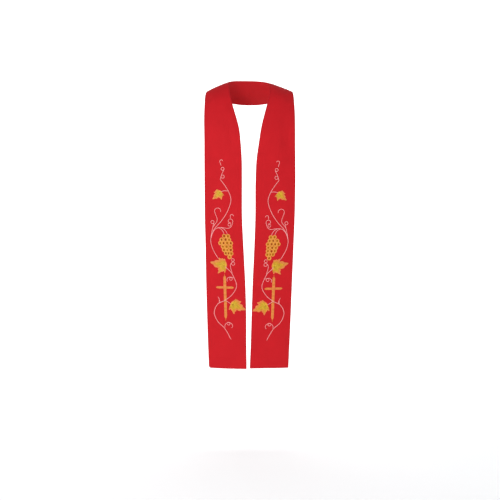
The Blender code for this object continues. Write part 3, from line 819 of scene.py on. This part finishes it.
EMBROIDERY = {side: [] for side in SIDES}
SEEDS = {"right": 11, "left": 47}
STITCHED_PLACES = []  # (run, reach) of stitches that pull the cloth
for side in SIDES:
    for i, (name, stem) in enumerate(STEMS.items()):
        width = narrowed(STEM_HALF_WIDTH, STEM_END, STEM_TAPER)
        bar = satin_bar(curve_through(stem), width, STEM_CROWN, SEEDS[side] + i, lift=over_other_stitches)
        piece = sew(name, side, [bar], [SILVER_PINK], [f"{name}_{side}"])
        EMBROIDERY[side].append(piece)
STITCHED_PLACES += [line[::4] for line in map(curve_through, STEMS.values())]

# ================================================================ the tendrils and stalks
# Tendrils, stalks and thorns branch off the stems. Each is a very narrow bar of the same thread, and
# most end in one or two small rings.

# A tendril starts at a place and is drawn as arcs, one after the other. "way" is where it sets off to,
# in degrees: 0 is up and 90 is towards the outer edge. Each arc has a length, and a turn in degrees.
Tendril = namedtuple("Tendril", "run reach way arcs")
SMALL_RING = ((0.038, -360),)
TENDRILS = {
    "tendrils_upper": [
        # the tip of the vine, with two rings and a hook
        Tendril(0.797, 0.011, -10, ((0.016, -10), (0.042, -355), (0.022, -15), (0.010, 15), (0.052, 480))),
        Tendril(0.855, 0.007, 15, ((0.017, 5), (0.022, -190))),
        # the stalk of the top leaf
        Tendril(0.750, -0.022, 75, ((0.034, 45),)),
        # the small ring on the outer side
        Tendril(0.556, 0.056, -12, ((0.064, -5), (0.044, 375))),
        # the large hook
        Tendril(0.600, 0.044, -30, ((0.020, -15), (0.024, 65), (0.025, 0), (0.050, -215))),
        # the long branch towards the middle, with a coil, a ring and a hook at its end
        Tendril(0.552, 0.055, -10, ((0.034, -25), (0.036, -60), (0.024, -5), (0.030, 80), (0.014, 10))
                + ((0.026, 150), (0.020, 160))),
        Tendril(0.610, -0.020, 0, SMALL_RING),
        Tendril(0.636, -0.031, 5, ((0.010, -5), (0.022, -190))),
        # the two stalks of the bunch
        Tendril(0.596, 0.023, -100, ((0.038, -75),)),
        Tendril(0.597, 0.012, -100, ((0.041, -70),)),
    ],
    "tendrils_lower": [
        # the tendril under the bunch, with two small rings
        Tendril(0.405, -0.031, 20, ((0.028, -10), (0.022, -65), (0.042, -350))),
        Tendril(0.461, -0.029, 0, SMALL_RING),
        # the curl beside the top of the cross
        Tendril(0.385, -0.037, 70, ((0.016, 15), (0.020, 85), (0.008, 60))),
        Tendril(0.381, -0.018, 0, SMALL_RING),
        # the thorn, thicker at its foot
        Tendril(0.278, 0.025, 5, ((0.028, 30),)),
        Tendril(0.275, 0.031, -20, ((0.016, 30),)),
        # the stalk of the low leaf
        Tendril(0.291, 0.004, -125, ((0.032, 5),)),
        # the curl at the foot
        Tendril(0.172, 0.006, 20, ((0.052, -175), (0.016, -90))),
        Tendril(0.190, -0.003, 0, SMALL_RING),
    ],
}


def drawn(tendril):
    """A dense line of points along a tendril."""
    run, reach, way = tendril.run, tendril.reach, math.radians(tendril.way)
    line = [(run, reach)]
    for length, turn in tendril.arcs:
        steps = round(length / LINE_STEP)
        for _ in range(steps):
            way += math.radians(turn) / steps / 2
            run += length / steps * math.cos(way)
            reach += length / steps * math.sin(way)
            way += math.radians(turn) / steps / 2
            line.append((run, reach))
    return line


TENDRIL_HALF_WIDTH = 0.00095
TENDRIL_CROWN = 0.00045
TENDRIL_END = 0.55
TENDRIL_TAPER = 0.004
TENDRIL_PITCH = 0.00055

for side in SIDES:
    for i, (name, tendrils) in enumerate(TENDRILS.items()):
        bars = [
            satin_bar(
                drawn(tendril),
                narrowed(TENDRIL_HALF_WIDTH, TENDRIL_END, TENDRIL_TAPER),
                TENDRIL_CROWN,
                SEEDS[side] + 10 * i + k,
                slant=0.4,
                lift=over_other_stitches,
                pitch=TENDRIL_PITCH,
            )
            for k, tendril in enumerate(tendrils)
        ]
        EMBROIDERY[side].append(sew(name, side, bars, [SILVER_PINK]))

# ================================================================ the leaves
# A vine leaf is worked in three overlapping rounds of long and short stitches, from the toothed rim
# inwards, in orange, gold and yellow-green thread. Its veins are laid on top.
# It is placed by its heart, where its stalk meets the blade. "turn" is the way its tip points, in degrees
# from straight down, positive towards the outer edge. "hand" is -1 where its broader side is the lower.
Leaf = namedtuple("Leaf", "name run reach length turn hand")
LEAVES = [
    Leaf("leaf_top", 0.7440, 0.0103, 0.0405, 51.0, 1),
    Leaf("leaf_middle", 0.4350, 0.0000, 0.0590, 104.0, 1),
    Leaf("leaf_low", 0.2722, -0.0268, 0.0555, -68.0, -1),
]
# The lobes: the way each points from the tip, in degrees, its length as a share of the leaf's, and its
# spread in degrees.
Lobe = namedtuple("Lobe", "way share spread")
LOBES = [
    Lobe(0.0, 1.00, 22.0),
    Lobe(44.0, 0.64, 15.0),
    Lobe(72.0, 0.52, 14.0),
    Lobe(-58.0, 0.69, 16.0),
    Lobe(-102.0, 0.46, 15.0),
]
LEAF_BODY = 0.295  # radius of the blade between the lobes, beside its heart, as a share of its length
LEAF_SWELL = 0.16  # how much more it is towards the tip, and less behind the heart
LEAF_POINT = 1.7  # lower is more pointed lobes
LEAF_TEETH = 18
LEAF_TOOTH = 0.068  # height of the teeth, as a share of the radius there

# A round of stitches: its radii as shares of the rim's, the heights there, the spacing of its threads
# at the rim, how uneven the two ends are, and its material.
Round = namedtuple("Round", "shares heights pitch ragged slot")
LEAF_ROUNDS = [
    Round((0.60, 0.74, 0.88, 0.98, 1.03), (0.45, 0.62, 0.62, 0.45, -0.10), 0.00062, 0.020, 0),
    Round((0.34, 0.48, 0.63, 0.74, 0.79), (0.60, 0.86, 0.86, 0.74, 0.45), 0.00082, 0.055, 1),
    Round((0.04, 0.16, 0.36, 0.53, 0.60), (0.70, 1.00, 1.04, 0.92, 0.70), 0.00110, 0.065, 2),
]
OUTER_RAGGED = 0.5  # the outer end of a round is this much less uneven than its inner one
HEART_CLEAR = 0.02  # no stitch comes nearer to the heart than this share of the rim's radius
RIDGE_FADE = 0.25  # within this share of the leaf's length from its heart the threads flatten out
VEIN_HALF_WIDTH = 0.00055
VEIN_NARROWS = 0.6  # by this share, towards its tip
VEIN_CROWN = 0.00030
VEIN_LIFT = 0.00092  # it lies this high on the stitches by the heart
VEIN_DROP = 0.00040  # and this much lower at the tips
VEIN_LEVEL = 0.25  # it starts to drop this far out, as a share of the leaf's length
VEIN_FALL = 0.6  # and does so over this share
MAIN_VEIN = (0.02, 0.84)  # where the vein of a lobe starts and how long it is, as shares of the lobe
SIDE_VEIN = (0.24, 0.6)  # the length of a side vein as a share of the lobe's, and its share of the width
SIDE_VEINS = ((0.34, 34.0), (0.52, 34.0))  # where they leave a vein, as a share, and at what angle

ORANGE_THREAD = thread_material(
    "orange_gold_thread", (0.73, 0.19, 0.036, 1.0), (0.93, 0.35, 0.085, 1.0), sheen=0.0, specular=0.3
)
GOLD_THREAD = thread_material(
    "old_gold_thread", (0.60, 0.26, 0.014, 1.0), (0.88, 0.46, 0.044, 1.0), sheen=0.0, specular=0.2
)
LIME_THREAD = thread_material(
    "yellow_green_thread",
    (0.54, 0.31, 0.012, 1.0),
    (0.92, 0.60, 0.050, 1.0),
    spread=2.4,
    sheen=0.0,
    specular=0.2,
)
VEIN_THREAD = thread_material(
    "olive_gold_thread", (0.50, 0.24, 0.008, 1.0), (0.72, 0.40, 0.022, 1.0), sheen=0.0, specular=0.2
)


def leaf_rim(way):
    """The radius of a vine leaf's outline, as a share of its length, at a way from its tip."""
    body = LEAF_BODY + LEAF_SWELL * np.cos(np.radians(way))
    radius = body.copy()
    for lobe in LOBES:
        turn = (way - lobe.way + 180) % 360 - 180
        radius += (lobe.share - body) * np.exp(-np.abs(turn / lobe.spread) ** LEAF_POINT)
    return radius * (1 + LEAF_TOOTH * np.cos(np.radians(way * LEAF_TEETH)))


def leaf_place(leaf, way, radius):
    """Run and reach of a point of a leaf, from its heart."""
    turn = np.radians(leaf.hand * way + leaf.turn)
    return leaf.run - radius * np.cos(turn), leaf.reach + radius * np.sin(turn)


def radial_stitches(run, reach, r, heights, slot, fade=1.0):
    """A loop of stitches that point away from a middle, from each thread's points. Their heights are in mm.
    The last two points of each lie on the cloth."""
    count = len(r)
    ridge = np.where(np.arange(count) % 2 == 1, THREAD_RIDGE, -THREAD_RIDGE)
    height = np.concatenate([heights, (0, 0)]) / 1000 + ridge[:, None] * fade
    height[:, -2:] = -SUNK
    stitch = np.stack([r, np.repeat(np.arange(count)[:, None] / 2, r.shape[1], 1)], -1)
    under = np.arange(r.shape[1]) >= len(heights)
    return Strip(np.stack([run, reach, height], -1), stitch, under, True, slot)


def leaf_round(leaf, stitches, seed):
    rng = np.random.default_rng(seed)
    fine = np.linspace(-180, 180, 1441)
    radius = leaf.length * leaf_rim(fine)
    run, reach = leaf_place(leaf, fine, radius)
    along = np.concatenate([[0], np.cumsum(np.hypot(np.diff(run), np.diff(reach)))])
    count = round(along[-1] / stitches.pitch)
    at = np.arange(2 * count) * along[-1] / (2 * count)
    way = np.interp(at, along, fine)
    rim = leaf.length * leaf_rim(way)
    shares = np.array(stitches.shares)
    low_end = np.repeat(rng.uniform(-1, 1, count), 2) * stitches.ragged
    high_end = np.repeat(rng.uniform(-1, 1, count), 2) * stitches.ragged * OUTER_RAGGED
    blend = (shares - shares[0]) / (shares[-1] - shares[0])
    share = shares + low_end[:, None] * (1 - blend) + high_end[:, None] * blend
    share = np.maximum(share, HEART_CLEAR)
    r = rim[:, None] * np.concatenate([share, share[:, [-2, 1]]], axis=1)
    run, reach = leaf_place(leaf, way[:, None], r)
    fade = np.minimum(1, r / (RIDGE_FADE * leaf.length))
    return radial_stitches(run, reach, r, stitches.heights, stitches.slot, fade)


def leaf_veins(leaf, seed):
    """A vein to the tip of each lobe, with small ones that branch off it."""
    bars = []

    def lift(run, reach):
        out = np.hypot(run - leaf.run, reach - leaf.reach) / leaf.length
        return VEIN_LIFT - VEIN_DROP * ease((out - VEIN_LEVEL) / VEIN_FALL)

    def vein(start_way, start, way, length, width):
        run0, reach0 = leaf_place(leaf, start_way, start)
        turn = math.radians(leaf.hand * way + leaf.turn)
        steps = np.linspace(0, length, 24)
        line = np.stack([run0 - steps * math.cos(turn), reach0 + steps * math.sin(turn)], 1)

        def half_width(at, full):
            return width * (1 - VEIN_NARROWS * at / full)

        bars.append(satin_bar(line, half_width, VEIN_CROWN, seed + len(bars), 0.4, lift, 3))

    for lobe in LOBES:
        length = lobe.share * leaf.length
        vein(lobe.way, MAIN_VEIN[0] * length, lobe.way, MAIN_VEIN[1] * length, VEIN_HALF_WIDTH)
        for share, angle in SIDE_VEINS:
            for hand in (-1, 1):
                way = lobe.way + hand * angle
                vein(lobe.way, share * length, way, SIDE_VEIN[0] * length, SIDE_VEIN[1] * VEIN_HALF_WIDTH)
    return bars


LEAF_THREADS = [ORANGE_THREAD, GOLD_THREAD, LIME_THREAD, VEIN_THREAD]
for side in SIDES:
    for i, leaf in enumerate(LEAVES):
        seed = SEEDS[side] + 100 * (i + 1)
        strips = [leaf_round(leaf, stitches, seed + k) for k, stitches in enumerate(LEAF_ROUNDS)]
        strips += leaf_veins(leaf, seed + 10)
        piece = sew(leaf.name, side, strips, LEAF_THREADS, [f"{leaf.name}_{side}"])
        EMBROIDERY[side].append(piece)
for leaf in LEAVES:
    ways = np.linspace(-180, 180, 90)
    STITCHED_PLACES.append(np.stack(leaf_place(leaf, ways, leaf.length * leaf_rim(ways)), 1))

# ================================================================ the bunch of grapes
# Each grape is a six-sided ring of orange-gold satin stitch that stands up round a low, darker middle.
# The grapes lie side by side with no cloth between them, and a line of orange thread goes round the bunch.

# A row of the bunch: how many grapes, how high they lie, and where the outermost one is.
GrapeRow = namedtuple("GrapeRow", "count run outermost pitch")
GRAPE_ROWS = [
    GrapeRow(2, 0.561, -0.003, 0.0145),
    GrapeRow(3, 0.547, 0.010, 0.0165),
    GrapeRow(4, 0.532, 0.016, 0.0150),
    GrapeRow(3, 0.517, 0.006, 0.0160),
    GrapeRow(3, 0.503, 0.000, 0.0135),
    GrapeRow(3, 0.489, -0.006, 0.0115),
    GrapeRow(1, 0.473, -0.021, 0.0150),
]
GRAPE_SCATTER = 0.0010  # how far a grape may lie off its place in the row
rng = np.random.default_rng(5)
GRAPES = [
    (row.run + aside[0], row.outermost - k * row.pitch + aside[1])
    for row in GRAPE_ROWS
    for k, aside in enumerate(rng.uniform(-GRAPE_SCATTER, GRAPE_SCATTER, (row.count, 2)))
]
GRAPE_LARGEST = 0.0087  # the radius of a grape where it has no neighbour
GRAPE_STITCHES = 52  # threads in a ring
GRAPE_EVEN = 0.04  # how far a rim is drawn in towards its own smallest radius, as a share
MIDDLE_LENGTH = 0.6875  # half of it, as a share of GRAPE_LARGEST: the ring's stitches cover its ends
MIDDLE_WIDTH = 0.75  # as a share of its length
MIDDLE_END = 0.2  # the width left at its ends, as a share
MIDDLE_CROWN = 0.00030
# The hole in the ring: how much longer and narrower than the ring it is, how much it differs from grape
# to grape, and how much of that difference moves it aside.
HOLE_LONGER = 0.5
HOLE_NARROWER = 0.1
HOLE_UNEVEN = 0.30
HOLE_ASIDE = 0.1
# the ring of stitches: shares of the grape's radius, from its middle outwards, and the heights there in mm
GRAPE_RING = ((0.49, 0.59, 0.75, 0.92, 1.08), (0.10, 0.78, 0.98, 0.76, -0.10))
GRAPE_RAGGED = (0.03, 0.02, 0.0, 0.0, 0.01)  # how much the threads differ in those shares

GRAPE_THREAD = thread_material(
    "light_orange_thread", (0.71, 0.255, 0.024, 1.0), (0.92, 0.45, 0.072, 1.0), sheen=0.0, specular=0.3
)
GRAPE_MIDDLES = [
    thread_material(name, deep, bright, sheen=0.0, specular=0.1)
    for name, deep, bright in (
        ("brown_gold_thread", (0.37, 0.095, 0.0005, 1.0), (0.58, 0.185, 0.001, 1.0)),
        ("red_brown_thread", (0.28, 0.030, 0.0005, 1.0), (0.46, 0.080, 0.001, 1.0)),
    )
]
OUTLINE_HALF_WIDTH = 0.0013
OUTLINE_END = 0.4
OUTLINE_TAPER = 0.002
OUTLINE_CROWN = 0.0009
OUTLINE_INSET = 0.0005  # of its middle, from the grape's rim
OUTLINE_FROM = 0.985  # of GRAPE_LARGEST: the rim has no neighbour where its radius is more
OUTLINE_SHORTEST = 45.0  # degrees of a grape's rim
OUTLINE_STEP = 3.0


def grape_radius(number, turn):
    """The radius of a grape at a way from straight up. It goes half-way to each neighbour."""
    run0, reach0 = GRAPES[number]
    radius = np.full(len(turn), GRAPE_LARGEST)
    for other, (run1, reach1) in enumerate(GRAPES):
        if other != number:
            towards = np.cos(turn) * (run1 - run0) + np.sin(turn) * (reach1 - reach0)
            apart = (run1 - run0) ** 2 + (reach1 - reach0) ** 2
            radius = np.minimum(radius, apart / (2 * np.maximum(towards, 0.0001)))
    return (1 - GRAPE_EVEN) * radius + GRAPE_EVEN * radius.min()


def grape_ring(number, seed):
    rng = np.random.default_rng(seed)
    run0, reach0 = GRAPES[number]
    shares, heights = GRAPE_RING
    count = 2 * GRAPE_STITCHES
    turn = np.arange(count) * 2 * math.pi / count
    radius = grape_radius(number, turn)
    loose = np.repeat(rng.uniform(-1, 1, GRAPE_STITCHES), 2)
    share = shares + loose[:, None] * np.array(GRAPE_RAGGED)
    share = np.concatenate([share, share[:, [-2, 1]]], axis=1)
    inner = 1 - np.clip(share, 0, 1)
    size = rng.uniform(-HOLE_UNEVEN, HOLE_UNEVEN)
    hole = 1 + inner * (HOLE_LONGER * np.cos(turn)[:, None] ** 2 - HOLE_NARROWER + size)
    aside = rng.uniform(-1, 1, 2) * HOLE_UNEVEN * HOLE_ASIDE * GRAPE_LARGEST
    r = radius[:, None] * share * hole
    run = run0 + r * np.cos(turn)[:, None] + inner * aside[0]
    reach = reach0 + r * np.sin(turn)[:, None] + inner * aside[1]
    return radial_stitches(run, reach, r, heights, 0)


def grape_middle(number, seed):
    run0, reach0 = GRAPES[number]
    half_length = MIDDLE_LENGTH * GRAPE_LARGEST
    line = np.array([(run0 - half_length, reach0), (run0 + half_length, reach0)])

    def half_width(at, length):
        share = 2 * at / length - 1
        return MIDDLE_WIDTH * half_length * np.sqrt(np.maximum(MIDDLE_END**2, 1 - share**2))

    slot = 1 + np.random.default_rng(seed).integers(2)
    return satin_bar(line, half_width, MIDDLE_CROWN, seed, 0.0, None, slot)


def grape_outlines(number, seed):
    """The orange line, along each part of a grape's rim that has no neighbour."""
    run0, reach0 = GRAPES[number]
    turn = np.radians(np.arange(0, 360, OUTLINE_STEP))
    is_free = grape_radius(number, turn) > OUTLINE_FROM * GRAPE_LARGEST
    turn, is_free = (np.roll(values, -np.argmin(is_free)) for values in (turn, is_free))
    free = np.flatnonzero(is_free)
    bars = []
    for arc in np.split(free, np.flatnonzero(np.diff(free) > 1) + 1):
        if len(arc) * OUTLINE_STEP > OUTLINE_SHORTEST:
            radius = grape_radius(number, turn[arc]) - OUTLINE_INSET
            line = np.stack([run0 + radius * np.cos(turn[arc]), reach0 + radius * np.sin(turn[arc])], 1)
            width = narrowed(OUTLINE_HALF_WIDTH, OUTLINE_END, OUTLINE_TAPER)
            bars.append(satin_bar(line, width, OUTLINE_CROWN, seed + len(bars), 0.3, None, 3))
    return bars


GRAPE_THREADS = [GRAPE_THREAD, *GRAPE_MIDDLES, ORANGE_THREAD]
for side in SIDES:
    strips = []
    for number in range(len(GRAPES)):
        strips.append(grape_ring(number, SEEDS[side] + 400 + number))
        strips.append(grape_middle(number, SEEDS[side] + 500 + number))
        strips += grape_outlines(number, SEEDS[side] + 600 + number)
    piece = sew("grapes", side, strips, GRAPE_THREADS, [f"grapes_{side}"])
    EMBROIDERY[side].append(piece)
turns = np.linspace(0, 2 * math.pi, 12, endpoint=False)
for number, (run0, reach0) in enumerate(GRAPES):
    radius = grape_radius(number, turns)
    STITCHED_PLACES.append(np.stack([run0 + radius * np.cos(turns), reach0 + radius * np.sin(turns)], 1))

# ================================================================ the cross
# A slender Latin cross in satin stitch over a padding, in orange thread. The threads of the upright
# lie level and those of the arms stand upright, so that the two catch the light differently.
CROSS_ARM = 0.038  # half the length of the cross-bar
CROSS_BAR_WIDTH = 0.0100
CROSS_SLANT = 0.06  # its threads lie nearly square to the bars
ARM_START = 0.46  # of the upright's width, from its middle
ARM_CROWN = 0.9  # of the upright's crown
PULL_STEP = 0.003  # between the places along the cross that pull the cloth
# The end of a bar: its width at the very tip, the length of the thin spike there, and the length over
# which the bar narrows, the spike included.
BarEnd = namedtuple("BarEnd", "tip spike taper")
TOP_END = BarEnd(0.0017, 0.0070, 0.0160)
FOOT_END = BarEnd(0.0017, 0.0090, 0.0210)
ARM_END = BarEnd(0.0030, 0.0, 0.0090)

CROSS_THREAD = thread_material(
    "cross_orange_thread", (0.64, 0.172, 0.025, 1.0), (0.90, 0.32, 0.064, 1.0), sheen=0.0, specular=0.3
)


def bar_half_width(full, end, left):
    """Half the width of a bar of the cross, at a distance from its end."""
    share = np.clip((left - end.spike) / (end.taper - end.spike), 0, 1)
    return (end.tip + (full - end.tip) * np.sin(share * math.pi / 2)) / 2


def upright_half_width(at, length):
    foot = bar_half_width(UPRIGHT_WIDTH, FOOT_END, at)
    top = bar_half_width(UPRIGHT_WIDTH, TOP_END, length - at)
    return np.minimum(foot, top)


def arm_half_width(at, length):
    return bar_half_width(CROSS_BAR_WIDTH, ARM_END, length - at)


def cross_strips(seed):
    upright = np.array([(CROSS_FOOT, CROSS_REACH), (CROSS_TOP, CROSS_REACH)])
    strips = [satin_bar(upright, upright_half_width, CROSS_CROWN, seed, CROSS_SLANT)]
    for hand in (-1, 1):
        start = CROSS_REACH + hand * UPRIGHT_WIDTH * ARM_START
        end = CROSS_REACH + hand * CROSS_ARM
        arm = np.array([(CROSS_ARM_RUN, start), (CROSS_ARM_RUN, end)])
        crown = CROSS_CROWN * ARM_CROWN
        strips.append(satin_bar(arm, arm_half_width, crown, seed + 1 + hand, CROSS_SLANT))
    return strips


for side in SIDES:
    strips = cross_strips(SEEDS[side] + 600)
    EMBROIDERY[side].append(sew("cross", side, strips, [CROSS_THREAD], [f"cross_{side}"]))
for at in np.arange(CROSS_FOOT, CROSS_TOP, PULL_STEP):
    half = UPRIGHT_WIDTH / 2
    STITCHED_PLACES.append([(at, CROSS_REACH - half), (at, CROSS_REACH + half)])
for at in CROSS_REACH + np.arange(-CROSS_ARM, CROSS_ARM, PULL_STEP):
    half = CROSS_BAR_WIDTH / 2
    STITCHED_PLACES.append([(CROSS_ARM_RUN - half, at), (CROSS_ARM_RUN + half, at)])

# ================================================================ the pull of the stitches
# Close stitching draws the cloth in, so that it cockles very slightly round the embroidery. The face
# is moved here, after the stitches are laid, and only beside them.
PULL = 0.00022  # how far the face moves in and out
PULL_START = 0.0025  # distance from the stitches at which it starts
PULL_RISE = 0.0030
PULL_FULL = 0.0040  # distance from which it dies away
PULL_REACH = 0.0140
PULL_WAVE = 0.0105
PULL_SLANT = 0.4
CROSS_WAVE = (-0.5, 0.9, 1.3)  # a second wave: its shares of run and reach, and how much longer it is
PULL_RUNS = (0.09, 0.90)  # the stretch of the cloth that has embroidery

stitched = np.concatenate(STITCHED_PLACES)
tree_of_stitches = KDTree(len(stitched))
for i, (run0, reach0) in enumerate(stitched):
    tree_of_stitches.insert((run0, reach0, 0), i)
tree_of_stitches.balance()
for side in SIDES:
    piece, run, reach = CLOTH[side]
    run, reach = run - DESIGN_SHIFT[side][0], reach - DESIGN_SHIFT[side][1]
    mesh = piece.data
    for number in np.flatnonzero((run > PULL_RUNS[0]) & (run < PULL_RUNS[1])):
        distance = tree_of_stitches.find((run[number], reach[number], 0))[2]
        if PULL_START < distance < PULL_REACH:
            rise = ease((distance - PULL_START) / PULL_RISE)
            rise *= 1 - ease((distance - PULL_FULL) / (PULL_REACH - PULL_FULL))
            turn = 2 * math.pi / PULL_WAVE
            wave = math.sin((run[number] + PULL_SLANT * reach[number]) * turn)
            slanted = reach[number] * CROSS_WAVE[1] + CROSS_WAVE[0] * run[number]
            wave += math.sin(slanted * turn / CROSS_WAVE[2])
            vertex = mesh.vertices[number]
            vertex.co += vertex.normal * float(PULL * 0.5 * rise * wave)
    mesh.update()
